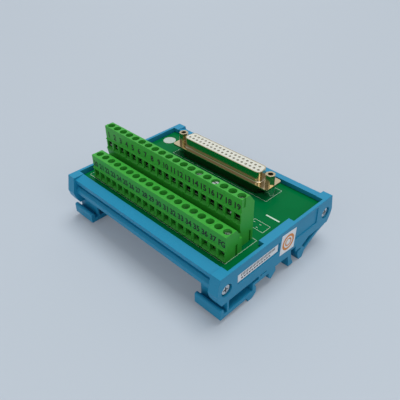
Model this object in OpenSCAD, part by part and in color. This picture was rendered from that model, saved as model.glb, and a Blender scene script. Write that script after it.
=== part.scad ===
// Breakout adapter: a 37-way D-shaped socket connector wired to two tiers of
// screw terminals, on a board in a plastic carrier with feet for a 35 mm rail.
// +X runs along the terminal rows, +Y to the connector side, +Z up.
// The origin is the middle of the footprint, on the surface that the feet stand on.

/* [Terminal rows] */
// Number of poles in each tier, made up of seven modules with 2 or 3 poles
poles = 19; // [16:1:21]
// Distance from pole to pole
pitch = 5.08; // [5:0.04:5.2]
// How far the upper tier is set to the left of the lower one
tier_shift = 2.3; // [1.5:0.1:2.6]
// Gap between neighbouring terminal modules
module_gap = 0.06; // [0.04:0.02:0.2]
// Distance from the end of a row to the end of the board
row_margin = 4.6; // [3:0.1:10]
// Height of the lower tier above the board
lower_h = 14.3; // [13.5:0.1:15]
// Height of the upper tier above the board
upper_h = 26.1; // [25:0.1:28]
// Depth of the lower tier, front to back
lower_depth = 8.75; // [8.5:0.05:9.5]
// Depth of the upper tier, front to back
upper_depth = 8.3; // [8:0.05:9.5]
// Width of the channel between the two tiers
channel_w = 3.3; // [2.5:0.1:5]
// Distance from the front edge of the board to the front of the lower tier
row_setback = 5.7; // [4:0.1:8]
// Diameter of a screw well
well_d = 3.9; // [3.6:0.1:4.2]
// Width of a wire entry
entry_w = 3.5; // [3.3:0.1:3.8]
// Height of a wire entry
entry_h = 4.3; // [4.1:0.1:4.6]
// Height of the numbered face above the ledge
number_face_h = 7.1; // [6.5:0.1:7.5]

/* [Clamps] */
// Diameter of a clamp screw's head
clamp_head_d = 3.5; // [3.2:0.1:3.7]
// Height of a clamp screw's head
clamp_head_h = 1.6; // [1.2:0.1:2]
// Thickness of the cage's walls
cage_wall = 0.4; // [0.3:0.05:0.5]
// Side of the square solder pin
pin_side = 1; // [0.8:0.05:1.1]

/* [Board] */
// Width of the board
board_w = 72; // [66:0.5:90]
// Thickness of the board
board_t = 1.6; // [1.2:0.1:2]
// How far pins stand out below the board
pin_below = 1.9; // [1:0.1:3]

/* [Connector] */
// Distance from the collar's end to the middle of a jackscrew
jack_gap = 4.33; // [4.2:0.01:6]
// Distance from the middle of a jackscrew to the flange's end
flange_end = 2.9; // [2.6:0.1:4]
// Width of the flange
flange_w = 12.55; // [11.5:0.05:14]
// Thickness of one flange sheet
sheet_t = 0.45; // [0.3:0.05:0.6]
// Height of the flange's top above the board
flange_h = 6.4; // [6:0.1:9]
// Length of the collar over its outside, at its wide side
collar_l = 54.84; // [54.4:0.02:56]
// Width of the collar over its outside
collar_w = 7.9; // [7.7:0.05:8.6]
// Height of the collar above the flange
collar_h = 5.8; // [5:0.1:7]
// Corner radius of the collar
collar_r = 2.6; // [2:0.1:3]
// Slant of the collar's short sides, in degrees
collar_slant = 10; // [8:1:12]
// Distance from contact to contact along a row
contact_pitch = 2.77; // [2.74:0.01:2.8]
// Distance between the two rows of contacts
contact_rows = 2.84; // [2.8:0.02:3]
// Diameter of a contact hole in the white face
contact_hole_d = 1.5; // [1.4:0.05:1.6]
// Distance from the back edge of the board to the connector's middle line
connector_inset = 12.95; // [10:0.05:20]
// Width of a jackscrew across its flats
jack_flats = 4.75; // [4.5:0.05:5.2]
// Height of a jackscrew's hexagon
jack_h = 5.7; // [5:0.1:8]
// Diameter of a jackscrew's threaded hole
jack_bore_d = 2.8; // [2.4:0.1:3]
// Diameter of a jackscrew's stud
jack_stud_d = 2.8; // [2.4:0.1:3]

/* [Carrier] */
// Width of a tray wall from the board's edge to its outer top edge
side_w = 5.15; // [4.6:0.05:7]
// Depth of the board below the carrier's top edge
board_drop = 2.5; // [2:0.1:4]
// Depth of the tray from its top edge to its underside
tray_depth = 12; // [11.5:0.1:14]
// Thickness of the tray's floor
floor_t = 1.6; // [1.2:0.1:2.4]
// Height of an end plate
plate_h = 16.2; // [15.5:0.1:18]
// Thickness of an end plate's wall
plate_t = 1.7; // [1.4:0.1:2.2]
// Thickness of an end plate at its corner blocks
corner_t = 5.5; // [4.5:0.1:8]
// Depth of the panels sunk into an end plate's outer face
panel_depth = 0.5; // [0.3:0.1:0.7]
// Diameter of an end plate screw's head
plate_screw_head_d = 4.9; // [4.6:0.1:5.2]
// Diameter of an end plate screw's shank
plate_screw_d = 2.9; // [2.5:0.1:3]

/* [Rail foot] */
// Distance from the carrier's top edge down to the surface that the feet stand on
foot_drop = 27.5; // [27:0.1:30]
// Length of a foot along the rail
foot_l = 16; // [12:0.5:24]
// Width of the rail that the feet grip
rail_w = 35; // [35:0.1:35.4]
// Thickness of the rail's edge
rail_t = 1; // [1:0.1:1.2]
// Depth of the rail
rail_depth = 7.5; // [7.5:0.1:7.6]

/* [Hidden] */
$fn = 48;
// Running clearance between pieces that slot together
fit = 0.1;
// Clearance of a screw or stud in its hole, across the diameter
screw_fit = 0.2;
// Overlap of a cutting tool past the face that it cuts
over = 1;
// Short sides in a rounded corner
corner_steps = 10;

// Heights above the surface that the feet stand on
edge_z = foot_drop;
board_z = edge_z - board_drop;
tray_z = edge_z - tray_depth;

// The carrier along X and across Y
row_l = poles * pitch;
board_l = row_l + tier_shift + 2 * row_margin;
board_gap = 0.8;
carrier_l = board_l + 2 * (board_gap + plate_t);
carrier_w = board_w + 2 * side_w;
bulge = 1.8;
bulge_drop = 9;

// The rows: right ends, module sizes and the places of the poles
lower_right = board_l / 2 - row_margin;
upper_right = lower_right - tier_shift;
pole_inset = pitch / 2 - 0.2;
modules = 7;
module_poles = [for (i = [1:modules]) i <= poles - 2 * modules ? 3 : 2];
row_y = -board_w / 2 + row_setback;
upper_y = row_y + lower_depth + channel_w;
lower_pole_y = row_y + 3.45;
upper_pole_y = upper_y + 2.45;

// Heights in a tier, measured down from its top
ledge_h = 0.7;
ledge_out = 0.6;
entry_gap = 0.2;
entry_top = number_face_h + ledge_h + entry_gap;
lip_out = 0.7;
lower_chamfer = [2.1, 3.4];
upper_chamfer = [3.2, 4.5];
channel_floor = 8.4;

// Cages and contact strips inside a pole
cage_back = 0.2;
head_depth = 3.1;
cage_w = entry_w - 2 * fit;
cage_l = 3.4;
cage_h = entry_h - 2 * fit;
strip_t = 0.5;
strip_w = cage_w - 2 * cage_wall - 2 * fit;
clamp_shank_d = strip_w;
clamp_travel = 2.3;
clamp_shank_l = entry_top - head_depth - clamp_head_h + 2 * fit + cage_wall + clamp_travel;
leg_y = 2.9;
pin_hole_d = pin_side * sqrt(2) + screw_fit;
solder_d = pin_hole_d + 0.5;
solder_h = 0.8;

// How far each loosened clamp screw stands above a tightened one
loose_upper = [[1, 0.2], [4, 0.3], [8, 0.5], [11, 0.6], [13, 0.9], [14, 2], [15, 0.5], [16, 2.3], [17, 0.6], [19, 1.4]];
loose_lower = [[3, 0.3], [6, 0.5], [12, 0.6], [14, 0.7], [15, 0.8], [19, 1.7]];
slot_w = 0.6;
slot_depth = 0.8;

// The connector
connector_x = upper_right - row_l / 2;
connector_y = board_w / 2 - connector_inset;
flange_z = board_z + flange_h;
face_z = flange_z + collar_h;
contact_margin = 2.1;
wide_contacts = floor((collar_l - 2 * contact_margin) / contact_pitch) + 1;
narrow_contacts = wide_contacts - 1;
jack_spacing = collar_l + 2 * jack_gap;
flange_l = jack_spacing + 2 * flange_end;
socket_d = 1.3;
socket_bore_d = 1.04;
socket_l = 7.4;
socket_drop = 0.8;
tail_d = 0.6;
tail_hole_d = 1;
skirt_l = collar_l + 2.6;
skirt_w = collar_w + 2.6;
skirt_r = collar_r + 1.3;
skirt_gap = 0.5;
spacer_d = 5.6;
nut_flats = 5;
nut_h = 1.6;

// Screw places on an end plate
plate_screw_inset = 4.2;
plate_screw_drop = 8.8;
counterbore_d = plate_screw_head_d + 1.5;
counterbore_depth = 2.6;
plate_screw_head_h = 1.9;
plate_screw_l = 14;

// Stickers
label_t = 0.12;
strip_label_size = [27.8, 4.6];
strip_label_y = 11.5 - carrier_w / 2;
strip_label_drop = 5.3;
seal_label_size = [11, 11.6];
seal_label_y = 46.6 - carrier_w / 2;
seal_label_drop = 8.3;
seal_label_turn = 4;
board_label_d = 7.6;
board_label_inset = 5.7;

// Sum of the first n entries of a list
function sum_first(list, n) = n <= 0 ? 0 : list[n - 1] + sum_first(list, n - 1);

// Place along X of pole i of a row, counted from 1 at the left
function pole_x(right, i) = right - pole_inset - (poles - i) * pitch;

// How far pole i's screw is turned out
function loose(list, i) =
    let (found = [for (entry = list) if (entry[0] == i) entry[1]])
    len(found) > 0 ? found[0] : 0;

// An outline in Y and Z, given as [y, z] points, drawn out along X from x0 over length l
module along_x(x0, l) {
    translate([x0, 0, 0]) rotate([90, 0, 90]) linear_extrude(l) children();
}

// A convex outline with round corners: the corners' centres run anticlockwise, and each corner is
// an arc of short sides from the direction of the edge before it to that of the edge after it
module rounded(centres, r) {
    n = len(centres);
    polygon([for (i = [0:n - 1])
        let (before = centres[i] - centres[(i + n - 1) % n], after = centres[(i + 1) % n] - centres[i],
             start = atan2(before[1], before[0]) - 90, turn = (atan2(after[1], after[0]) - 90 - start + 720) % 360)
        for (k = [0:corner_steps]) centres[i] + r * [cos(start + turn * k / corner_steps), sin(start + turn * k / corner_steps)]]);
}

// A D outline, wide side to the front (-Y): overall length at the wide side, width and corner radius
module d_outline(l, w, r) {
    lean = (w - 2 * r) * tan(collar_slant);
    half_wide = l / 2 - r;
    half_narrow = half_wide - lean;
    rounded([[-half_wide, -w / 2 + r], [half_wide, -w / 2 + r],
             [half_narrow, w / 2 - r], [-half_narrow, w / 2 - r]], r);
}

// The tray's section: one side is given as distances from its outer top edge, the other mirrors it
module tray_section() {
    y0 = -carrier_w / 2;
    shelf_y = side_w + 3;
    boss_y = 7;
    groove_top = board_drop - fit;
    groove_low = board_drop + board_t;
    side = [[boss_y, floor_t - tray_depth], [boss_y, -groove_low - 1.6], [shelf_y, -groove_low - 1.6],
        [shelf_y, -groove_low], [side_w - fit, -groove_low], [side_w - fit, -groove_top],
        [side_w + 0.85, -groove_top], [side_w + 0.85, 0], [0.7, -1.3], [1.2, -4.1], [3.1, -4.4], [3.1, -6],
        [1.6, -6.2], [0.3, -7.4], [0.3, -9.8], [0.9, -10.3], [2.8, -10.3], [4.2, -tray_depth]];
    last = len(side) - 1;
    polygon(concat(
        [for (p = side) [y0 + p[0], edge_z + p[1]]],
        [for (i = [last:-1:0]) [-y0 - side[i][0], edge_z + side[i][1]]]));
}

module carrier_tray() {
    color("#4a96c4") difference() {
        along_x(-carrier_l / 2 + corner_t, carrier_l - 2 * corner_t) tray_section();
        for (end = [-1, 1], side = [-1, 1])
            translate([end * carrier_l / 2, side * (carrier_w / 2 - plate_screw_inset), edge_z - plate_screw_drop])
                rotate([0, -90 * end, 0]) cylinder(d = plate_screw_d + screw_fit, h = plate_screw_l + counterbore_depth);
    }
}

// The end plate's outline across Y: it bulges over the tray's sides and tapers to its lower edge
module plate_outline() {
    w = carrier_w / 2;
    side = [[w, 0], [w + bulge, -bulge_drop], [w + 1, -12.4], [w - 1, -plate_h]];
    polygon([for (p = concat(side, [for (i = [3:-1:0]) [-side[i][0], side[i][1]]])) [p[0], edge_z + p[1]]]);
}

// The foot's side view, with y measured from the front edge and z from the top edge
function foot_at(p) = [p[0] - carrier_w / 2, edge_z + p[1]];
rail_seat = -19.8;
latch_y = (carrier_w - rail_w) / 2 - fit;
hook_y = (carrier_w + rail_w) / 2 + fit;
foot_front = 4.6;
foot_back = carrier_w - 2.9;
web_t = 1.8;
web_low = rail_seat + 3.6;
web_top = web_low + web_t;
base_top = rail_seat - 2.7;
base_low = rail_seat - 5.2;
wall_top = rail_seat - 0.6;

// A place on the hook's brace, as a share of the way from the hook to the foot's back
function brace_y(share) = hook_y + share * (foot_back - hook_y);

module foot_outline() {
    lip_low = rail_seat - rail_t - 2 * fit;
    // Upper web under the tray, with the rail's seats
    polygon([for (p = [[foot_front, web_top], [foot_back, web_top], [foot_back, web_low], [hook_y + 6, web_low],
        [hook_y + 1, rail_seat + 0.6], [hook_y, rail_seat], [hook_y - 4.4, rail_seat], [hook_y - 4.6, web_low],
        [hook_y - 8.55, web_low], [hook_y - 7.55, rail_seat - 2.1], [hook_y - 5.55, rail_seat - 6.5],
        [hook_y - 9.45, rail_seat - 6.5], [hook_y - 9.75, rail_seat - 3.4], [hook_y - 10.75, rail_seat + 1],
        [latch_y + 14.75, rail_seat + 1.3], [latch_y + 15.25, rail_seat - 1.5], [latch_y + 12.85, rail_seat - 4],
        [latch_y + 11.85, rail_seat - 4.8], [latch_y + 10.25, rail_seat - 3.4], [latch_y + 9.75, rail_seat],
        [latch_y, rail_seat], [latch_y - 1.7, rail_seat], [latch_y - 1.7, rail_seat + 1.6],
        [latch_y + 2.45, rail_seat + 1.6], [latch_y + 2.45, web_low], [foot_front, web_low]]) foot_at(p)]);
    // Front rib
    polygon([for (p = [[foot_front, web_low + 1.2], [foot_front + 1.2, web_low + 1.2], [foot_front + 1.2, base_top - 0.5],
        [foot_front, base_top - 0.5]]) foot_at(p)]);
    // Springy base strip with the screwdriver slot's outer wall
    polygon([for (p = [[0.4, base_low], [0.4, wall_top], [2.6, wall_top], [2.6, base_top], [latch_y - 1.7, base_top],
        [latch_y - 1.7, rail_seat + 1], [latch_y, rail_seat + 1], [latch_y, lip_low],
        [latch_y + 0.9, lip_low - 0.5], [latch_y + 0.9, base_low - 0.4], [latch_y - 2, -foot_drop],
        [latch_y - 4.6, -foot_drop], [latch_y - 4.6, base_low - 1.6], [latch_y - 5.6, base_low]]) foot_at(p)]);
    translate(foot_at([1.5, wall_top])) circle(1.1);
    // Fixed hook with its diagonal brace
    polygon([for (p = [[foot_back, web_low], [brace_y(0.714), web_low - 1.7], [brace_y(0.448), rail_seat - 0.8],
        [brace_y(0.172), rail_seat - 4.2], [hook_y + 2.25, -foot_drop], [hook_y - 0.35, -foot_drop],
        [hook_y - 2.2, rail_seat - 3.8], [hook_y - 2.2, lip_low], [hook_y, lip_low], [hook_y, rail_seat],
        [hook_y + 1, rail_seat + 0.6], [brace_y(0.167), rail_seat - 2], [brace_y(0.409), rail_seat + 0.9],
        [brace_y(0.593), web_low - 0.9], [brace_y(0.787), web_low]]) foot_at(p)]);
}

// An end plate for the right end; the left one is its mirror image
module end_plate(labelled) {
    x1 = carrier_l / 2;
    tab_len = 22.2;
    tab_y = 30 - carrier_w / 2;
    tab_reach = 3;
    block_y = side_w + 1.1;
    difference() {
        union() {
            along_x(x1 - plate_t, plate_t) plate_outline();
            // Corner blocks that cap the tray's side walls
            intersection() {
                along_x(x1 - corner_t, corner_t) plate_outline();
                for (side = [-1, 1])
                    translate([x1 - corner_t, side > 0 ? carrier_w / 2 - block_y : -carrier_w / 2 - 2 * bulge, 0])
                        cube([corner_t, block_y + 2 * bulge, edge_z + over]);
            }
            // Tab over the board's edge
            along_x(x1 - plate_t - tab_reach, plate_t + tab_reach) polygon([
                [tab_y, board_z + fit], [tab_y + tab_len, board_z + fit], [tab_y + tab_len, edge_z], [tab_y, edge_z]]);
            along_x(x1 - foot_l, foot_l) foot_outline();
            // The plate's wall runs down to the foot's web
            along_x(x1 - plate_t, plate_t) polygon([for (p = [[foot_front, web_low], [foot_back, web_low],
                [foot_back, web_t - plate_h], [foot_front, web_t - plate_h]]) foot_at(p)]);
        }
        // Room for the board's corners
        translate([0, -board_w / 2 - fit, board_z - board_t - fit]) cube([board_l / 2 + fit, board_w + 2 * fit, board_t + 2 * fit]);
        // Panels sunk into the outer face, on both sides of a pad
        for (panel = [[11, 29.2, 4.9, 10.4], [53, 17.5, 1.2, 11]])
            translate([x1 - panel_depth, panel[0] - carrier_w / 2, edge_z - panel[3]])
                cube([panel_depth + over, panel[1], panel[3] - panel[2]]);
        // Slit that frees the spring, and the narrow slot above the seat
        translate(concat(x1 - foot_l - over, foot_at([latch_y + 3.45, web_low - 0.8]))) cube([foot_l + 2 * over, 4.8, 0.6]);
        for (side = [-1, 1])
            translate([x1, side * (carrier_w / 2 - plate_screw_inset), edge_z - plate_screw_drop]) rotate([0, -90, 0]) {
                translate([0, 0, -over]) cylinder(d = counterbore_d, h = counterbore_depth + over);
                cylinder(d = plate_screw_d + 2 * screw_fit, h = corner_t + over);
            }
    }
}

module end_plate_right() {
    color("#4a96c4") end_plate();
}

module end_plate_left() {
    color("#4a96c4") mirror([1, 0, 0]) end_plate();
}

// Self-tapping pan head screw with a cross recess, along +X from its head
module plate_screw() {
    rotate([0, -90, 0]) {
        difference() {
            cylinder(d = plate_screw_head_d, h = plate_screw_head_h);
            for (turn = [0, 90]) rotate(turn)
                translate([-1.5, -0.35, -over]) cube([3, 0.7, 1.2 + over]);
        }
        translate([0, 0, plate_screw_head_h]) cylinder(d = plate_screw_d, h = plate_screw_l - 3);
        translate([0, 0, plate_screw_head_h + plate_screw_l - 3]) cylinder(d1 = plate_screw_d, d2 = 1, h = 2);
    }
}

module end_plate_screws() {
    head_x = carrier_l / 2 - counterbore_depth + plate_screw_head_h;
    color("silver") for (end = [-1, 1], side = [-1, 1]) mirror([end < 0 ? 1 : 0, 0, 0])
        translate([head_x, side * (carrier_w / 2 - plate_screw_inset), edge_z - plate_screw_drop]) plate_screw();
}

// Places of the 37 contacts, wide row first
contact_places = concat(
    [for (i = [0:wide_contacts - 1]) [(i - (wide_contacts - 1) / 2) * contact_pitch, -contact_rows / 2]],
    [for (i = [0:narrow_contacts - 1]) [(i - (narrow_contacts - 1) / 2) * contact_pitch, contact_rows / 2]]);

module circuit_board() {
    color("#0a7a44") difference() {
        translate([-board_l / 2, -board_w / 2, board_z - board_t]) cube([board_l, board_w, board_t]);
        for (i = [1:poles]) {
            translate([pole_x(lower_right, i), lower_pole_y + leg_y, board_z - board_t - over])
                cylinder(d = pin_hole_d, h = board_t + 2 * over);
            translate([pole_x(upper_right, i), upper_pole_y + leg_y, board_z - board_t - over])
                cylinder(d = pin_hole_d, h = board_t + 2 * over);
        }
        translate([connector_x, connector_y, board_z - board_t - over]) {
            for (p = contact_places) translate(p) cylinder(d = tail_hole_d, h = board_t + 2 * over);
            for (side = [-1, 1]) translate([side * jack_spacing / 2, 0])
                cylinder(d = jack_stud_d + screw_fit, h = board_t + 2 * over);
        }
    }
}

// The front of a tier, as [y, z] points from its top edge down, y to the back and z up from its foot
function tier_front(h) = let (e = h - entry_top, low = e - entry_h) [
    [0, h], [0, h - number_face_h], [-ledge_out, h - number_face_h - 0.4], [-ledge_out, h - number_face_h - ledge_h],
    [-0.2, e + 0.1], [-0.2, low], [-lip_out, low - 0.5], [-lip_out, low - 1.1]];

// Side view of a two-tier module, from the lower tier's front foot
module block_section() {
    back = lower_depth + channel_w;
    upper_back = back + upper_depth;
    polygon(concat(
        [[0, 0], [0, 0.6]], [for (i = [7:-1:0]) tier_front(lower_h)[i]],
        [[lower_depth - lower_chamfer[0], lower_h], [lower_depth, lower_h - lower_chamfer[1]],
         [lower_depth, channel_floor], [back, channel_floor]],
        [for (i = [7:-1:0]) tier_front(upper_h)[i] + [back, 0]],
        [[upper_back - upper_chamfer[0], upper_h], [upper_back, upper_h - upper_chamfer[1]], [upper_back, 0]]));
}

// Everything cut out for one pole of a tier: screw well, wire entry, cage room and leg slot
module pole_cut(h, pole_y) {
    low = h - entry_top - entry_h;
    leg_back = pole_y + leg_y + pin_side / 2 + fit;
    translate([0, pole_y, h - entry_top]) {
        translate([0, 0, entry_top - head_depth - clamp_head_h]) cylinder(d = well_d, h = h);
        translate([0, 0, -over]) cylinder(d = clamp_shank_d + 2 * screw_fit, h = entry_top);
    }
    translate([-entry_w / 2, -over, low]) cube([entry_w, leg_back + over, entry_h]);
    // Sloped mouth under the entry
    along_x(-entry_w / 2, entry_w) polygon([[-over, low - over - 0.2], [0.8, low + 0.01], [-over, low + 0.01]]);
    translate([-pin_side / 2 - fit, leg_back - pin_side - 2 * fit, -over])
        cube([pin_side + 2 * fit, pin_side + 2 * fit, low + 2 * over]);
}

// Ribs on a module's left face, and with room around them the slots of its right face
rib_w = 1;
rib_out = 0.8;
shallow_rib_out = 0.25;
module block_ribs(grow) {
    back = lower_depth + channel_w;
    for (rib = [[back + 1.2, upper_h - 4.6, upper_h, shallow_rib_out], [back + upper_depth - 2.4, 0, 6.2, rib_out],
        [lower_depth - 2.4, 0, 6.4, rib_out]])
        translate([-rib[3] - grow, rib[0] - grow, rib[1] - grow])
            cube([rib[3] + 2 * grow, rib_w + 2 * grow, rib[2] - rib[1] + 2 * grow]);
}

// One two-tier module: index 0 is the leftmost
module terminal_block(index) {
    first = sum_first(module_poles, index);
    count = module_poles[index];
    right = lower_right - (poles - first - count) * pitch;
    l = count * pitch - module_gap;
    color("#44a83c") translate([0, row_y, board_z]) difference() {
        union() {
            tier_piece(right - l, l, true);
            tier_piece(right - l - tier_shift, l, false);
            translate([right - l, 0, 0]) intersection() {
                block_ribs(0);
                translate([-rib_out, 0, 0]) cube([rib_out, lower_depth, lower_h]);
            }
            translate([right - l - tier_shift, 0, 0]) intersection() {
                block_ribs(0);
                translate([-rib_out, lower_depth, 0]) cube([rib_out, channel_w + upper_depth, upper_h]);
            }
        }
        for (i = [first + 1:first + count]) {
            translate([pole_x(lower_right, i), 0, 0]) pole_cut(lower_h, lower_pole_y - row_y);
            translate([pole_x(upper_right, i), upper_y - row_y, 0]) pole_cut(upper_h, upper_pole_y - upper_y);
        }
        translate([right, 0, 0]) intersection() {
            block_ribs(fit);
            translate([-over, 0, -over]) cube([2 * over, lower_depth, lower_h]);
        }
        translate([right - tier_shift, 0, 0]) intersection() {
            block_ribs(fit);
            translate([-over, lower_depth, -over]) cube([2 * over, channel_w + upper_depth, upper_h + 2 * over]);
        }
    }
}

// The part of a module that belongs to the lower or the upper tier
module tier_piece(x0, l, lower) {
    split = lower_depth + channel_w / 2;
    intersection() {
        along_x(x0, l) block_section();
        translate([x0 - over, lower ? -2 * over : split, -over])
            cube([l + 2 * over, lower ? split + 2 * over : channel_w + upper_depth, upper_h + 2 * over]);
    }
}

// A slotted clamp screw, turned by an angle; z is at its seat under the head
module clamp_screw(turn, l) {
    difference() {
        cylinder(d = clamp_head_d, h = clamp_head_h);
        rotate(turn) translate([-clamp_head_d, -slot_w / 2, clamp_head_h - slot_depth])
            cube([2 * clamp_head_d, slot_w, slot_depth + over]);
    }
    translate([0, 0, -l]) cylinder(d = clamp_shank_d, h = l);
}

// A row of clamp screws: tightened ones seat in their wells with the tip on the contact strip
module clamp_screw_row(right, pole_y, h, loose_list) {
    seat = board_z + h - head_depth - clamp_head_h;
    for (i = [1:poles])
        translate([pole_x(right, i), pole_y, seat + loose(loose_list, i)]) clamp_screw((i * 67) % 180, clamp_shank_l);
}

module upper_clamp_screws() {
    color("gainsboro") clamp_screw_row(upper_right, upper_pole_y, upper_h, loose_upper);
}

module lower_clamp_screws() {
    color("gainsboro") clamp_screw_row(lower_right, lower_pole_y, lower_h, loose_lower);
}

// A row of wire cages: square tubes open to the front and back, bored at the top for the screw
module cage_row(right, pole_y, h) {
    low = board_z + h - entry_top - entry_h;
    for (i = [1:poles]) translate([pole_x(right, i), pole_y, low]) difference() {
        translate([-cage_w / 2, cage_back - cage_l / 2, 0]) cube([cage_w, cage_l, cage_h]);
        translate([-cage_w / 2 + cage_wall, cage_back - cage_l / 2 - over, cage_wall])
            cube([cage_w - 2 * cage_wall, cage_l + 2 * over, cage_h - 2 * cage_wall]);
        translate([0, 0, cage_h / 2]) cylinder(d = clamp_shank_d + fit, h = cage_h);
    }
}

module upper_clamp_cages() {
    color("darkgoldenrod") cage_row(upper_right, upper_pole_y, upper_h);
}

module lower_clamp_cages() {
    color("darkgoldenrod") cage_row(lower_right, lower_pole_y, lower_h);
}

// A row of contact strips: each lies in its cage, bends down behind it and ends as the solder pin
module contact_row(right, pole_y, h) {
    top = board_z + h - head_depth - clamp_head_h - clamp_shank_l;
    for (i = [1:poles]) translate([pole_x(right, i), pole_y, 0]) {
        translate([-strip_w / 2, -cage_l / 2, top - strip_t])
            cube([strip_w, cage_l / 2 + leg_y + strip_t / 2, strip_t]);
        translate([-pin_side / 2, leg_y - pin_side / 2, board_z - board_t - pin_below])
            cube([pin_side, pin_side, top - board_z + board_t + pin_below]);
        translate([0, leg_y, board_z - board_t - solder_h]) cylinder(d1 = pin_side * sqrt(2), d2 = solder_d, h = solder_h);
    }
}

module upper_contact_pins() {
    color("lightgray") contact_row(upper_right, upper_pole_y, upper_h);
}

module lower_contact_pins() {
    color("lightgray") contact_row(lower_right, lower_pole_y, lower_h);
}

// The flange's outline with its two stud holes
module flange_outline() {
    corner = 1.6;
    x = flange_l / 2 - corner;
    y = flange_w / 2 - corner;
    difference() {
        rounded([[-x, -y], [x, -y], [x, y], [-x, y]], corner);
        for (side = [-1, 1]) translate([side * jack_spacing / 2, 0]) circle(d = jack_stud_d + screw_fit);
    }
}

module connector_front_shell() {
    color("#c8b48c") translate([connector_x, connector_y, flange_z - sheet_t]) {
        linear_extrude(sheet_t) difference() {
            flange_outline();
            d_outline(collar_l - 2 * sheet_t, collar_w - 2 * sheet_t, collar_r - sheet_t);
        }
        linear_extrude(collar_h + sheet_t) difference() {
            d_outline(collar_l, collar_w, collar_r);
            d_outline(collar_l - 2 * sheet_t, collar_w - 2 * sheet_t, collar_r - sheet_t);
        }
    }
}

module connector_rear_shell() {
    skirt_h = flange_h - 2 * sheet_t - skirt_gap;
    color("#a89878") translate([connector_x, connector_y, board_z + skirt_gap]) {
        linear_extrude(skirt_h) difference() {
            d_outline(skirt_l, skirt_w, skirt_r);
            d_outline(skirt_l - 2 * sheet_t, skirt_w - 2 * sheet_t, skirt_r - sheet_t);
        }
        translate([0, 0, skirt_h]) linear_extrude(sheet_t) difference() {
            flange_outline();
            d_outline(skirt_l - 2 * sheet_t, skirt_w - 2 * sheet_t, skirt_r - sheet_t);
        }
    }
}

// White insulator: the face inside the collar and a wider foot held between the two shells
module connector_face() {
    inner = sheet_t + fit / 2;
    foot_h = 2;
    color("#eeeee0") translate([connector_x, connector_y, 0]) difference() {
        union() {
            translate([0, 0, flange_z - sheet_t]) linear_extrude(face_z - flange_z + sheet_t)
                d_outline(collar_l - 2 * inner, collar_w - 2 * inner, collar_r - inner);
            translate([0, 0, flange_z - sheet_t - foot_h]) linear_extrude(foot_h)
                d_outline(skirt_l - 2 * inner, skirt_w - 2 * inner, skirt_r - inner);
        }
        for (p = contact_places) translate([p[0], p[1], 0]) cylinder(d = contact_hole_d, h = face_z + over);
    }
}

module connector_rear_insulator() {
    inner = sheet_t + fit / 2;
    top = flange_z - sheet_t - 2 - fit / 2;
    color("#20242a") translate([connector_x, connector_y, 0]) difference() {
        translate([0, 0, board_z]) linear_extrude(top - board_z)
            d_outline(skirt_l - 2 * inner, skirt_w - 2 * inner, skirt_r - inner);
        for (p = contact_places) translate([p[0], p[1], 0]) {
            cylinder(d = tail_d + screw_fit, h = top + over);
            translate([0, 0, face_z - socket_drop - socket_l]) cylinder(d = contact_hole_d, h = socket_l);
        }
    }
}

module connector_contacts() {
    color("gold") translate([connector_x, connector_y, 0]) for (p = contact_places) translate([p[0], p[1], 0]) {
        translate([0, 0, face_z - socket_drop - socket_l]) difference() {
            cylinder(d = socket_d, h = socket_l, $fn = 24);
            translate([0, 0, 1.4]) cylinder(d = socket_bore_d, h = socket_l, $fn = 24);
        }
        tail_z = board_z - board_t - pin_below;
        translate([0, 0, tail_z]) cylinder(d = tail_d, h = face_z - socket_drop - socket_l - tail_z, $fn = 24);
        translate([0, 0, board_z - board_t - solder_h]) cylinder(d1 = tail_d, d2 = tail_hole_d + 0.4, h = solder_h, $fn = 24);
    }
}

module jackscrews() {
    stud_l = flange_h + board_t + nut_h + 0.8;
    color("#b8a888") for (side = [-1, 1])
        translate([connector_x + side * jack_spacing / 2, connector_y, flange_z]) {
            difference() {
                intersection() {
                    cylinder(d = jack_flats / cos(30), h = jack_h, $fn = 6);
                    translate([0, 0, -over]) cylinder(d = jack_flats / cos(30) - 0.3, h = jack_h + 2 * over);
                }
                translate([0, 0, jack_h - 4.6]) cylinder(d = jack_bore_d, h = 4.6 + over);
            }
            translate([0, 0, -stud_l]) cylinder(d = jack_stud_d, h = stud_l);
        }
}

module connector_spacers() {
    color("silver") for (side = [-1, 1])
        translate([connector_x + side * jack_spacing / 2, connector_y, board_z]) difference() {
            cylinder(d = spacer_d, h = flange_h - 2 * sheet_t);
            translate([0, 0, -over]) cylinder(d = jack_stud_d + screw_fit, h = flange_h + over);
        }
}

module jackscrew_nuts() {
    color("silver") for (side = [-1, 1])
        translate([connector_x + side * jack_spacing / 2, connector_y, board_z - board_t - nut_h]) difference() {
            cylinder(d = nut_flats / cos(30), h = nut_h, $fn = 6);
            translate([0, 0, -over]) cylinder(d = jack_stud_d + fit, h = nut_h + 2 * over);
        }
}

// Bare white strip in the left panel of the right end plate
module strip_label() {
    color("white") translate([carrier_l / 2 - panel_depth, strip_label_y, edge_z - strip_label_drop - strip_label_size[1]])
        cube([label_t, strip_label_size[0], strip_label_size[1]]);
}

// Square sticker on the pad of the right end plate, put on slightly turned
module seal_label() {
    color("white") translate([carrier_l / 2, seal_label_y, edge_z - seal_label_drop]) rotate([-seal_label_turn, 0, 0])
        translate([0, -seal_label_size[0] / 2, -seal_label_size[1] / 2])
            cube([label_t, seal_label_size[0], seal_label_size[1]]);
}

// Round sticker on the board, left of the connector
module board_label() {
    color("white") translate([board_label_inset - board_l / 2, connector_y + 2, board_z])
        cylinder(d = board_label_d, h = label_t);
}

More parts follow.
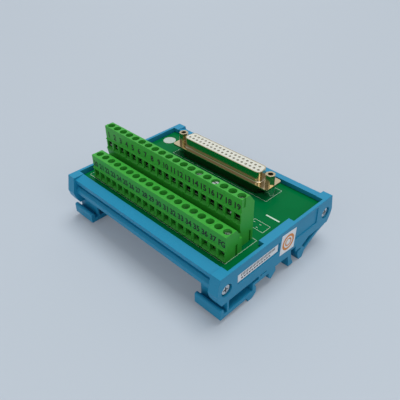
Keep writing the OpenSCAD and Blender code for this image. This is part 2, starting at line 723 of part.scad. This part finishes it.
carrier_tray();
end_plate_left();
end_plate_right();
end_plate_screws();
circuit_board();
terminal_block(0);  // terminal_block_1
terminal_block(1);  // terminal_block_2
terminal_block(2);  // terminal_block_3
terminal_block(3);  // terminal_block_4
terminal_block(4);  // terminal_block_5
terminal_block(5);  // terminal_block_6
terminal_block(6);  // terminal_block_7
upper_clamp_screws();
lower_clamp_screws();
upper_clamp_cages();
lower_clamp_cages();
upper_contact_pins();
lower_contact_pins();
connector_front_shell();
connector_rear_shell();
connector_face();
connector_rear_insulator();
connector_contacts();
jackscrews();
connector_spacers();
jackscrew_nuts();
strip_label();
seal_label();
board_label();
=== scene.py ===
# %% [markdown]
# A breakout adapter: a 37-way connector on a green board is wired to two tiers of
# screw terminals, and a blue carrier clips the board to a rail. The rigid pieces come
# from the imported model, so this script finishes them: materials, printed numbers,
# board markings, stickers, light and camera.

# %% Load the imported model
import math
import bmesh
import bpy
from mathutils import Matrix, Vector


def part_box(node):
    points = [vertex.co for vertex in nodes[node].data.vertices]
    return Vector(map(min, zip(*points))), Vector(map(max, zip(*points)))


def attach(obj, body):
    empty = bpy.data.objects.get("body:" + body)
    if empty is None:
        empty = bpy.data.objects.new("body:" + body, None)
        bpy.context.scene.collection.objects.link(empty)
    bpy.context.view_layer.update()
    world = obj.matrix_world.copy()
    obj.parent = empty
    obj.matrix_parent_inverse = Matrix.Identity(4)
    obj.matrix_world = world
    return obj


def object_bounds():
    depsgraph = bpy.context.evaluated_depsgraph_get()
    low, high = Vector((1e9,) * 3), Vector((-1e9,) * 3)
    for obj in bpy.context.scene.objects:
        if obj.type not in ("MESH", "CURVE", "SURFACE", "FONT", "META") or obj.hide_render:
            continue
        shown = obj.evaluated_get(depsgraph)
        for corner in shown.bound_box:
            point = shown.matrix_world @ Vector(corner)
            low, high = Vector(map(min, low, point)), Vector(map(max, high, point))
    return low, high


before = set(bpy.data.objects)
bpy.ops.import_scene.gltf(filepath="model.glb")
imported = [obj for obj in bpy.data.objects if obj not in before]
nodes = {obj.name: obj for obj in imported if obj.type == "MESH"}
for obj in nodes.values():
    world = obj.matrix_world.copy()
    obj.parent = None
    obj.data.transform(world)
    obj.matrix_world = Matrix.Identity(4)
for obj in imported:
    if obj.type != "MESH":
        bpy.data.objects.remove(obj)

cad_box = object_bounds()
MM = 0.001
corners_mm = [[round(c / MM, 1) for c in corner] for corner in cad_box]
print(len(nodes), "pieces, lowest and highest corner in mm:", corners_mm)

# %% [markdown]
# Colours are written as sRGB hex values, as a paint program shows them. Blender computes
# with linear light, so one function turns the first into the second. Another small
# function adds a shader node, sets its values and links its inputs in one line. It calls
# an input by its name, with _ for a space, or by n and its number where names repeat.

# %% Colour and node helpers
def linear(hex_colour):
    channels = [int(hex_colour[i:i + 2], 16) / 255 for i in (1, 3, 5)]
    return tuple(c / 12.92 if c <= 0.04045 else ((c + 0.055) / 1.055) ** 2.4 for c in channels) + (1.0,)


def add(material, kind, settings=None, **inputs):
    node = material.node_tree.nodes.new(kind)
    for name, value in (settings or {}).items():
        setattr(node, name, value)
    for name, value in inputs.items():
        numbered = name[0] == "n" and name[1:].isdigit()
        socket = node.inputs[int(name[1:]) if numbered else name.replace("_", " ")]
        if isinstance(value, bpy.types.NodeSocket):
            material.node_tree.links.new(value, socket)
        else:
            socket.default_value = value
    return node


def new_material(name, colour, roughness, metallic=0.0, **more):
    material = bpy.data.materials.new(name)
    material.use_nodes = True
    shader = material.node_tree.nodes["Principled BSDF"]
    shader.inputs["Base Color"].default_value = linear(colour)
    shader.inputs["Roughness"].default_value = roughness
    shader.inputs["Metallic"].default_value = metallic
    for socket, value in more.items():
        shader.inputs[socket.replace("_", " ")].default_value = value
    return material, shader


print("mid grey #808080 is", round(linear("#808080")[0], 3), "in linear light")

# %% [markdown]
# The tray is extruded and its end plates are moulded from satin blue plastic, and the
# terminal blocks from green. The mould's fine grain scatters the highlight. Grain of about
# 0.4 mm in a weak bump gives that, and a slow change of tone of about 30 mm keeps large
# faces from looking computed. The edges are sharp in the mesh, so a Bevel node rounds
# their shading over a few tenths of a millimetre, as a mould does.

# %% Moulded plastics
EDGE_RAYS = 4
SATIN_GLOSS = 0.28
TONE_MM = 30.0


def grained_plastic(name, colour, shade, roughness, grain_mm, depth_mm, edge_mm):
    material, shader = new_material(name, colour, roughness, IOR=1.5, Specular_IOR_Level=SATIN_GLOSS)
    edges = add(material, "ShaderNodeBevel", {"samples": EDGE_RAYS}, Radius=edge_mm * MM).outputs["Normal"]
    place = add(material, "ShaderNodeTexCoord").outputs["Object"]
    tone = add(material, "ShaderNodeTexNoise", Vector=place, Scale=1 / (TONE_MM * MM), Detail=2.0)
    mix = add(material, "ShaderNodeMix", {"data_type": "RGBA"}, n0=tone.outputs["Fac"],
              n6=linear(colour), n7=linear(shade))
    grain = add(material, "ShaderNodeTexNoise", Vector=place, Scale=1 / (grain_mm * MM), Detail=1.0)
    bump = add(material, "ShaderNodeBump", Height=grain.outputs["Fac"], Distance=depth_mm * MM,
               Strength=0.5, Normal=edges)
    material.node_tree.links.new(mix.outputs["Result"], shader.inputs["Base Color"])
    material.node_tree.links.new(bump.outputs["Normal"], shader.inputs["Normal"])
    return material


blue = grained_plastic("Satin blue ABS", "#2293BC", "#1E8DB4", 0.4, 0.5, 0.02, 0.3)
green = grained_plastic("Moulded green polyamide", "#40AF3D", "#3AA637", 0.36, 0.4, 0.02, 0.15)
ivory = grained_plastic("Ivory polyester insulator", "#E4E4D8", "#DEDDD0", 0.45, 0.4, 0.01, 0.2)
black = grained_plastic("Black polyester insulator", "#1D1F22", "#22252A", 0.4, 0.4, 0.01, 0.2)
print("plastics:", [m.name for m in (blue, green, ivory, black)])

# %% [markdown]
# The board is glass-fibre laminate under green solder resist. The weave of the glass is
# too fine to show from here, so a slow change of tone of about 12 mm is enough to keep
# the board from looking computed. A low roughness keeps its reflections sharp, and a low
# specular level keeps them faint, because the board barely mirrors the pale room.

# %% Solder resist
resist, resist_shader = new_material("Green solder resist", "#006E3A", 0.22, IOR=1.5,
                                     Specular_IOR_Level=0.03)
resist_tone_mm = 12
place = add(resist, "ShaderNodeTexCoord").outputs["Object"]
tone = add(resist, "ShaderNodeTexNoise", Vector=place, Scale=1 / (resist_tone_mm * MM), Detail=3.0)
tint = add(resist, "ShaderNodeMix", {"data_type": "RGBA"}, n0=tone.outputs["Fac"],
           n6=linear("#006C38"), n7=linear("#00763F"))
resist.node_tree.links.new(tint.outputs["Result"], resist_shader.inputs["Base Color"])
print("resist changes its tone every", resist_tone_mm, "mm")

# %% [markdown]
# The metals are plated: zinc on the screws, tin on the solder pins and the connector's
# shells, nickel on the cages and gold on the contacts. Plate copies the metal under it,
# so a fine tumbled texture breaks up each reflection. The cages' nickel is painted far
# darker than nickel is, as painted shade for the deep wire entries. The back shell gets a
# darker copy of the shell's plate, as painted shade under the flange.

# %% Plated metals
def plated(name, colour, roughness, texture_mm, depth_mm, edge_mm):
    material, shader = new_material(name, colour, roughness, metallic=1.0)
    edges = add(material, "ShaderNodeBevel", {"samples": EDGE_RAYS}, Radius=edge_mm * MM).outputs["Normal"]
    place = add(material, "ShaderNodeTexCoord").outputs["Object"]
    texture = add(material, "ShaderNodeTexNoise", Vector=place, Scale=1 / (texture_mm * MM), Detail=2.0)
    bump = add(material, "ShaderNodeBump", Height=texture.outputs["Fac"], Distance=depth_mm * MM,
               Strength=0.4, Normal=edges)
    material.node_tree.links.new(bump.outputs["Normal"], shader.inputs["Normal"])
    return material


zinc = plated("Bright zinc plate", "#D4D6D8", 0.25, 0.5, 0.006, 0.1)
# Painted shade: this nickel is far darker than nickel is, for the cages deep in the wire entries.
nickel_in_painted_shade = plated("Nickel-plated brass darkened as painted shade", "#33312D", 0.36, 0.5, 0.006, 0.05)
tin = plated("Tin-plated copper", "#D2D2D0", 0.35, 0.5, 0.006, 0.05)
shell_plate = plated("Tin-plated steel shell", "#D3C3A0", 0.17, 3.0, 0.01, 0.12)
# Painted shade: a darker copy of the shell's plate, for the back shell under the flange.
shell_plate_in_painted_shade = plated("Tin-plated steel shell darkened as painted shade", "#5E5845", 0.3, 3.0, 0.01, 0.12)
lock_plate = plated("Plated steel screw lock", "#CDBE9E", 0.2, 0.6, 0.006, 0.12)
gold = plated("Gold-plated socket", "#D8AE55", 0.3, 0.5, 0.006, 0.05)
print("metals:", [m.name for m in (zinc, nickel_in_painted_shade, tin, shell_plate, shell_plate_in_painted_shade, lock_plate, gold)])

# %% [markdown]
# Stickers are matt white film, and printing ink is flat and thin. Film and ink differ a
# little in tone from speck to speck, about every millimetre, and have no relief, because
# a print has none that the eye could see.

# %% Film and ink
def speckled(name, colour, shade, roughness, speck_mm):
    material, shader = new_material(name, colour, roughness)
    place = add(material, "ShaderNodeTexCoord").outputs["Object"]
    speck = add(material, "ShaderNodeTexNoise", Vector=place, Scale=1 / (speck_mm * MM), Detail=2.0)
    mix = add(material, "ShaderNodeMix", {"data_type": "RGBA"}, n0=speck.outputs["Fac"],
              n6=linear(colour), n7=linear(shade))
    material.node_tree.links.new(mix.outputs["Result"], shader.inputs["Base Color"])
    return material


film = speckled("White label film", "#F6F6F6", "#F0F0F1", 0.5, 1.5)
black_ink = speckled("Black marking ink", "#15181A", "#1D2022", 0.6, 0.6)
white_ink = speckled("White board legend", "#D2ECDA", "#C8E4D0", 0.6, 0.6)
round_film = speckled("Translucent label film", "#C6D3CB", "#BECCC3", 0.5, 1.5)
orange_ink = speckled("Orange label ink", "#E8923C", "#E28A34", 0.5, 0.6)
print("films and inks:", [m.name for m in (film, round_film, black_ink, white_ink, orange_ink)])

# %% [markdown]
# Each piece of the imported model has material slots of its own, so its finish goes into
# them, looked up by the piece's name. All seven terminal blocks share the green.

# %% Give every piece its material
finish = {
    "carrier_tray": blue, "end_plate_left": blue, "end_plate_right": blue, "circuit_board": resist,
    "end_plate_screws": zinc, "upper_clamp_screws": zinc, "lower_clamp_screws": zinc,
    "connector_spacers": zinc, "jackscrew_nuts": zinc, "jackscrews": lock_plate,
    "upper_clamp_cages": nickel_in_painted_shade, "lower_clamp_cages": nickel_in_painted_shade,
    "upper_contact_pins": tin, "lower_contact_pins": tin, "connector_contacts": gold,
    "connector_front_shell": shell_plate, "connector_rear_shell": shell_plate_in_painted_shade,
    "connector_face": ivory, "connector_rear_insulator": black,
    "strip_label": film, "seal_label": film, "board_label": round_film,
}
for name, piece in nodes.items():
    material = green if name.startswith("terminal_block") else finish[name]
    for index in range(len(piece.material_slots)):
        piece.material_slots[index].material = material
print("finished", len(nodes), "pieces")

# %% [markdown]
# The terminals are numbered in black on the front faces of both tiers. Text becomes a
# flat mesh, is scaled to the height of the print and lies 0.02 mm in front of the face.
# The strokes are made a little bolder than the font's, as a pad print comes out.

# %% Terminal numbers
PRINT_LIFT = 0.02 * MM
STROKE_OFFSET = 0.036


def as_piece(name, mesh, material, body="root"):
    piece = bpy.data.objects.new(name, mesh)
    bpy.context.scene.collection.objects.link(piece)
    mesh.materials.clear()
    mesh.materials.append(material)
    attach(piece, body)
    return piece


def printed_word(word, height, width, place):
    curve = bpy.data.curves.new("word", "FONT")
    curve.body = word
    curve.align_x = "CENTER"
    curve.align_y = "CENTER"
    curve.resolution_u = 3
    curve.offset = STROKE_OFFSET
    maker = bpy.data.objects.new("word", curve)
    bpy.context.scene.collection.objects.link(maker)
    bpy.context.view_layer.update()
    mesh = bpy.data.meshes.new_from_object(maker)
    bpy.data.objects.remove(maker)
    xs = [v.co.x for v in mesh.vertices]
    ys = [v.co.y for v in mesh.vertices]
    middle = Vector(((min(xs) + max(xs)) / 2, (min(ys) + max(ys)) / 2, 0))
    size = Vector((max(xs) - min(xs), max(ys) - min(ys)))
    upward = height / size.y
    across = min(width / size.x, upward)
    mesh.transform(place @ Matrix.Diagonal((across, upward, 1, 1)) @ Matrix.Translation(-middle))
    return mesh


def joined(name, meshes, material):
    work = bmesh.new()
    for mesh in meshes:
        work.from_mesh(mesh)
    whole = bpy.data.meshes.new(name)
    work.to_mesh(whole)
    work.free()
    return as_piece(name, whole, material)


lower_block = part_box("terminal_block_7")
screws_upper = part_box("upper_clamp_screws")
screws_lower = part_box("lower_clamp_screws")
poles = 19
screw_head = 3.5 * MM
lip_out = 0.7 * MM
print_height, print_width = 3.3 * MM, 3.85 * MM
upper_drop, lower_drop = 4.4 * MM, 16.2 * MM
pitch = (screws_lower[1][0] - screws_lower[0][0] - screw_head) / (poles - 1)
upper_face_y = screws_upper[0][1] - lip_out
lower_face_y = lower_block[0][1] + lip_out
block_top = lower_block[1][2]
upright = Matrix.Rotation(math.radians(90), 4, "X")
upper_words = [str(i + 1) for i in range(poles)]
lower_words = [str(i + 1 + poles) for i in range(poles - 1)] + ["FG"]
tiers = [
    ("Upper_terminal_numbers", screws_upper, upper_face_y, block_top - upper_drop, upper_words),
    ("Lower_terminal_numbers", screws_lower, lower_face_y, block_top - lower_drop, lower_words),
]
for title, screws, face_y, z, words in tiers:
    first = screws[0][0] + screw_head / 2
    places = [Matrix.Translation((first + i * pitch, face_y - PRINT_LIFT, z)) for i in range(poles)]
    meshes = [printed_word(word, print_height, print_width, where @ upright)
              for word, where in zip(words, places)]
    joined(title, meshes, black_ink)
    print(title, "from", words[0], "to", words[-1], "every", round(pitch / MM, 2), "mm")

# %% [markdown]
# The board's legend is printed in white: an outline round each part, four short marks in
# the smallest outline, and a plain bar. Each line is a thin rectangle that lies 0.02 mm
# above the resist.

# %% Board legend
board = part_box("circuit_board")
board_top = board[1][2]


def rectangle(work, to_place, length, width):
    made = bmesh.ops.create_grid(work, x_segments=1, y_segments=1, size=0.5)
    bmesh.ops.transform(work, matrix=to_place @ Matrix.Diagonal((length, width, 1, 1)), verts=made["verts"])


def bar(work, x0, y0, x1, y1):
    middle = Matrix.Translation(((x0 + x1) / 2, (y0 + y1) / 2, board_top + PRINT_LIFT))
    rectangle(work, middle, x1 - x0, y1 - y0)


def outline(work, x0, y0, x1, y1, width):
    bar(work, x0, y0, x1, y0 + width)
    bar(work, x0, y1 - width, x1, y1)
    bar(work, x0, y0, x0 + width, y1)
    bar(work, x1 - width, y0, x1, y1)


legend = bmesh.new()
line_width = 0.17 * MM
left, right, front = board[0][0], board[1][0], board[0][1]
outlines = [
    (left + 2.2 * MM, front + 5.15 * MM, right - 4.4 * MM, front + 26.6 * MM),
    (-35.9 * MM, front + 52.55 * MM, 34.0 * MM, front + 65.6 * MM),
    (right - 15.5 * MM, front + 32.35 * MM, right - 5.9 * MM, front + 38.35 * MM),
]
for sides in outlines:
    outline(legend, *sides, line_width)
bar(legend, right - 13.3 * MM, front + 43.8 * MM, right - 5.3 * MM, front + 44.7 * MM)
mark_length, mark_width = 1.0 * MM, 0.25 * MM
for x in (right - 14.6 * MM, right - 11.0 * MM):
    for y in (front + 33.6 * MM, front + 36.2 * MM):
        bar(legend, x, y, x + mark_length, y + mark_width)
mesh = bpy.data.meshes.new("Board_legend")
legend.to_mesh(mesh)
legend.free()
as_piece("Board_legend", mesh, white_ink)
print("legend of", len(outlines), "outlines with lines of", round(line_width / MM, 2), "mm")

# %% [markdown]
# The square sticker has two plain orange rings. Each starts as a filled circle: a border
# is inset in it, and the face that is left in the middle is deleted.

# %% Rings on the square sticker
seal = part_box("seal_label")
face_right = Matrix.Rotation(math.radians(90), 4, "Y")
middle = Vector((seal[1][0] + PRINT_LIFT, (seal[0][1] + seal[1][1]) / 2, (seal[0][2] + seal[1][2]) / 2))
ring = bmesh.new()
ring_sizes_mm = ((4.5, 1.3), (2.4, 0.8))
for radius, stroke in ring_sizes_mm:
    made = bmesh.ops.create_circle(ring, cap_ends=True, segments=64, radius=radius * MM)
    disc = made["verts"][0].link_faces[0]
    bmesh.ops.inset_region(ring, faces=[disc], thickness=stroke * MM, use_boundary=True)
    bmesh.ops.delete(ring, geom=[disc], context="FACES_ONLY")
bmesh.ops.transform(ring, matrix=Matrix.Translation(middle) @ face_right, verts=ring.verts)
mesh = bpy.data.meshes.new("Sticker_ring")
ring.to_mesh(mesh)
ring.free()
as_piece("Sticker_ring", mesh, orange_ink)
print("rings of", [2 * radius for radius, stroke in ring_sizes_mm], "mm in", len(mesh.polygons), "faces")

# %% [markdown]
# The long sticker gets a plain pattern in the scale of small print: evenly spaced upright
# bars over a row of short dashes. Even spacing keeps it an ornament that says nothing.

# %% Pattern on the long sticker
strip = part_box("strip_label")
length, height = strip[1][1] - strip[0][1], strip[1][2] - strip[0][2]
pattern = bmesh.new()


def row_of_marks(work, start, end, low, high, step, mark):
    """Marks from share start to share end of the length, between two shares of the height."""
    z = strip[0][2] + (low + high) / 2 * height
    for i in range(int((end - start) * length / step) + 1):
        y = strip[0][1] + start * length + i * step + mark / 2
        middle = Matrix.Translation((strip[1][0] + PRINT_LIFT, y, z))
        rectangle(work, middle @ face_right, (high - low) * height, mark)


row_of_marks(pattern, 0.08, 0.92, 0.52, 0.84, 0.95 * MM, 0.42 * MM)
row_of_marks(pattern, 0.08, 0.80, 0.2, 0.36, 1.7 * MM, 1.2 * MM)
mesh = bpy.data.meshes.new("Strip_pattern")
pattern.to_mesh(mesh)
pattern.free()
as_piece("Strip_pattern", mesh, black_ink)
print(len(mesh.polygons), "marks on a sticker of", round(length / MM, 1), "by", round(height / MM, 1), "mm")

# %% [markdown]
# The collar is drawn from the flange's sheet, so a small radius joins the two. A quarter
# of a circle is spun from one point, and this line is swept round the collar: it turns
# about the middle of each corner and is extruded along each side.

# %% Radius at the collar's base
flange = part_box("connector_front_shell")
flange_h, clear = 6.4 * MM, 0.01 * MM
collar_l, collar_w, collar_r, base_r = 54.84 * MM, 7.9 * MM, 2.6 * MM, 0.7 * MM
slant = 10
corner_y = collar_w / 2 - collar_r
half_wide = collar_l / 2 - collar_r
half_narrow = half_wide - 2 * corner_y * math.tan(math.radians(slant))
corners = [Vector((half_wide, -corner_y, 0)), Vector((half_narrow, corner_y, 0)),
           Vector((-half_narrow, corner_y, 0)), Vector((-half_wide, -corner_y, 0))]
turns = [90 + slant, 90 - slant, 90 - slant, 90 + slant]


def points_in(geometry):
    return [item for item in geometry if isinstance(item, bmesh.types.BMVert)]


def edges_between(geometry):
    ends = set(points_in(geometry))
    return [edge for edge in work.edges if set(edge.verts) <= ends]


work = bmesh.new()
foot = corners[0] - Vector((0, collar_r + base_r, 0))
bmesh.ops.spin(work, geom=[work.verts.new(foot)], cent=foot + Vector((0, 0, base_r)), axis=(1, 0, 0),
               angle=math.radians(90), steps=6)
profile = work.edges[:]
for corner, after, angle in zip(corners, corners[1:] + corners[:1], turns):
    points = list({point for edge in profile for point in edge.verts})
    spun = bmesh.ops.spin(work, geom=points + profile, cent=corner, axis=(0, 0, 1),
                          angle=math.radians(angle), steps=angle // 10)
    pushed = bmesh.ops.extrude_edge_only(work, edges=edges_between(spun["geom_last"]))["geom"]
    bmesh.ops.translate(work, vec=after - corner, verts=points_in(pushed))
    profile = edges_between(pushed)
bmesh.ops.remove_doubles(work, verts=work.verts, dist=0.001 * MM)
bmesh.ops.recalc_face_normals(work, faces=work.faces)
if sum(face.normal.z for face in work.faces) < 0:
    bmesh.ops.reverse_faces(work, faces=work.faces)
for face in work.faces:
    face.smooth = True
centre = Vector(((flange[0][0] + flange[1][0]) / 2, (flange[0][1] + flange[1][1]) / 2,
                 board_top + flange_h + clear))
bmesh.ops.translate(work, vec=centre, verts=work.verts)
mesh = bpy.data.meshes.new("Collar_base_radius")
work.to_mesh(mesh)
work.free()
as_piece("Collar_base_radius", mesh, shell_plate)
print("radius of", round(base_r / MM, 2), "mm in", len(mesh.polygons), "faces")

# %% [markdown]
# The studio: a pale floor, a wide soft light overhead that leans in from behind, two
# weaker cards in front and behind, and a small one on the right. The shadow lies close
# round the feet. The camera alone sees a fifth of the floor's own colour as light, which
# softens the shadow as in the photograph and leaves the light on the adapter alone.

# %% Floor and light
floor_colour = "#C0CAD4"
own_light = 0.2
floor_material, floor_shader = new_material("Pale studio floor", floor_colour, 0.7)
seen = add(floor_material, "ShaderNodeLightPath").outputs["Is Camera Ray"]
share = add(floor_material, "ShaderNodeMath", {"operation": "MULTIPLY"}, n0=seen, n1=own_light)
glow = add(floor_material, "ShaderNodeEmission", Color=linear(floor_colour), Strength=1.0)
seen_floor = add(floor_material, "ShaderNodeMixShader", n0=share.outputs["Value"],
                 n1=floor_shader.outputs["BSDF"], n2=glow.outputs["Emission"])
surface = floor_material.node_tree.nodes["Material Output"].inputs["Surface"]
floor_material.node_tree.links.new(seen_floor.outputs["Shader"], surface)
work = bmesh.new()
bmesh.ops.create_grid(work, x_segments=1, y_segments=1, size=3.0)
mesh = bpy.data.meshes.new("Floor")
work.to_mesh(mesh)
work.free()
floor = bpy.data.objects.new("Floor", mesh)
mesh.materials.append(floor_material)
bpy.context.scene.collection.objects.link(floor)

world = bpy.data.worlds.new("Studio")
bpy.context.scene.world = world
world.use_nodes = True
sky = world.node_tree.nodes["Background"]
sky.inputs["Color"].default_value = linear("#E6EAF0")
sky.inputs["Strength"].default_value = 0.34


AIM = Vector((0, 0, 0.02))


def soft_light(name, place, size, watts):
    lamp = bpy.data.lights.new(name, "AREA")
    lamp.shape = "DISK"
    lamp.size = size
    lamp.energy = watts
    light = bpy.data.objects.new(name, lamp)
    light.location = place
    light.rotation_euler = (AIM - Vector(place)).to_track_quat("-Z", "Y").to_euler()
    bpy.context.scene.collection.objects.link(light)


sun = bpy.data.lights.new("Overhead light", "SUN")
sun.energy = 1.68
sun.angle = math.radians(36)
overhead = bpy.data.objects.new("Overhead light", sun)
overhead.rotation_euler = Vector((0.0, -0.25, -1.0)).to_track_quat("-Z", "Y").to_euler()
bpy.context.scene.collection.objects.link(overhead)
soft_light("Back card", (-0.55, 0.55, 0.62), 0.9, 1.0)
soft_light("Front card", (0.1, -1.0, 0.5), 1.0, 1.9)
soft_light("Right card", (1.0, -0.1, 0.7), 0.6, 1.5)
print("an overhead light, three cards and a pale world")

# %% [markdown]
# The camera stands where the photograph's did: to the right, in front and above. The
# image is taken to be 400 pixels square, and the lens follows from its angle of view.

# %% Camera
camera_data = bpy.data.cameras.new("Photograph's view")
camera_data.sensor_width = 36
camera_data.lens = 42.495
camera_data.clip_start = 0.01
camera = bpy.data.objects.new("Photograph's view", camera_data)
forward = Vector((-0.5776, 0.5609, -0.5931)).normalized()
sideways = Vector((0.7046, 0.7094, -0.0153)).normalized()
upward = sideways.cross(forward)
turn = Matrix((sideways, upward, -forward)).transposed().to_4x4()
camera_place_mm = (147.5, -140.07, 167.27)
camera.matrix_world = Matrix.Translation([c * MM for c in camera_place_mm]) @ turn
bpy.context.scene.collection.objects.link(camera)
bpy.context.scene.camera = camera
bpy.context.scene.view_settings.view_transform = "Standard"
print("camera is", round(camera.location.length / MM), "mm from the origin")

# %% [markdown]
# The last cell brings the view layer up to date.

# %% Update the view layer
bpy.context.view_layer.update()
